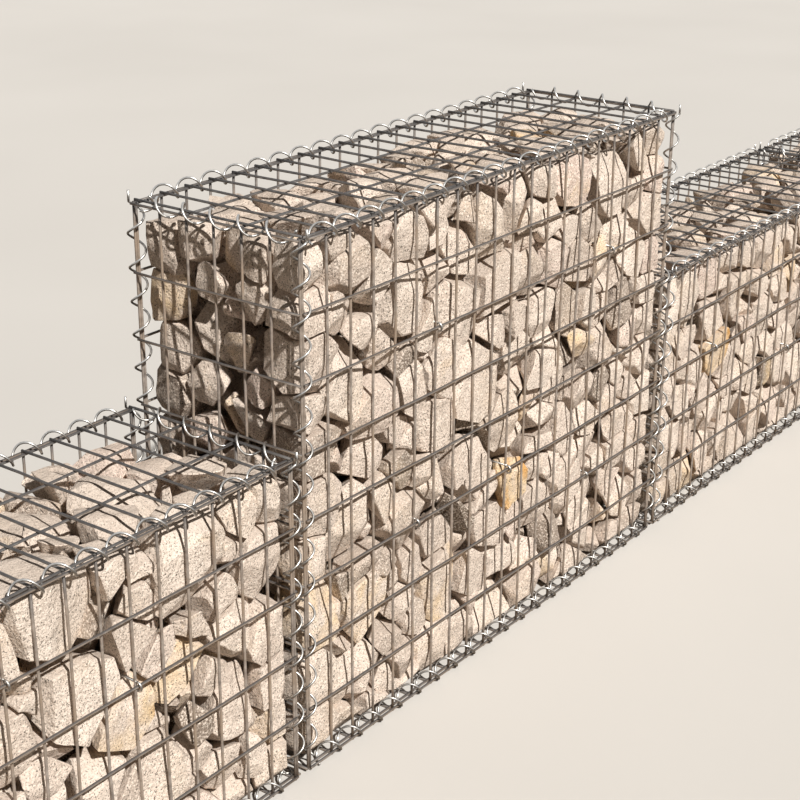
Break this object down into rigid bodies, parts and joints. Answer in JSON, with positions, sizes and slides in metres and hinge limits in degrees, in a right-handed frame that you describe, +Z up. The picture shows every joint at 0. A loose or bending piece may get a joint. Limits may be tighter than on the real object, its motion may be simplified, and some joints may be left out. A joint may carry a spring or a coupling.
{
  "type": "gabion wall",
  "caption": "Low gabion wall of welded-mesh wire baskets filled with broken quarry stone, set end to end, with one basket taller than its neighbours and wire spirals joining the edges.",
  "frame": {"origin": "middle of the footprint, on the ground", "axes": "+X along the wall, +Y from the front towards the back, +Z up"},
  "size_m": [4.1308, 0.3282, 0.823],
  "materials": {
    "mesh_wire": "dull grey-brown weathered zinc coating on steel wire",
    "spiral_wire": "brighter zinc-coated spring wire",
    "stone": "rough broken granite, pale grey-beige with dark specks"
  },
  "bodies": {
    "root": {"bay_1_front_mesh": "mesh_wire", "bay_1_back_mesh": "mesh_wire", "bay_1_left_end_mesh": "mesh_wire", "bay_1_right_end_mesh": "mesh_wire", "bay_1_lid_mesh": "mesh_wire", "bay_1_base_mesh": "mesh_wire", "bay_1_corner_spirals": "spiral_wire", "bay_1_stone_fill": "stone", "bay_2_front_mesh": "mesh_wire", "bay_2_back_mesh": "mesh_wire", "bay_2_left_end_mesh": "mesh_wire", "bay_2_right_end_mesh": "mesh_wire", "bay_2_lid_mesh": "mesh_wire", "bay_2_base_mesh": "mesh_wire", "bay_2_corner_spirals": "spiral_wire", "bay_2_stone_fill": "stone", "bay_3_front_mesh": "mesh_wire", "bay_3_back_mesh": "mesh_wire", "bay_3_left_end_mesh": "mesh_wire", "bay_3_right_end_mesh": "mesh_wire", "bay_3_lid_mesh": "mesh_wire", "bay_3_base_mesh": "mesh_wire", "bay_3_corner_spirals": "spiral_wire", "bay_3_stone_fill": "stone", "bay_4_front_mesh": "mesh_wire", "bay_4_back_mesh": "mesh_wire", "bay_4_left_end_mesh": "mesh_wire", "bay_4_right_end_mesh": "mesh_wire", "bay_4_lid_mesh": "mesh_wire", "bay_4_base_mesh": "mesh_wire", "bay_4_corner_spirals": "spiral_wire", "bay_4_stone_fill": "stone"}
  },
  "joints": []
}
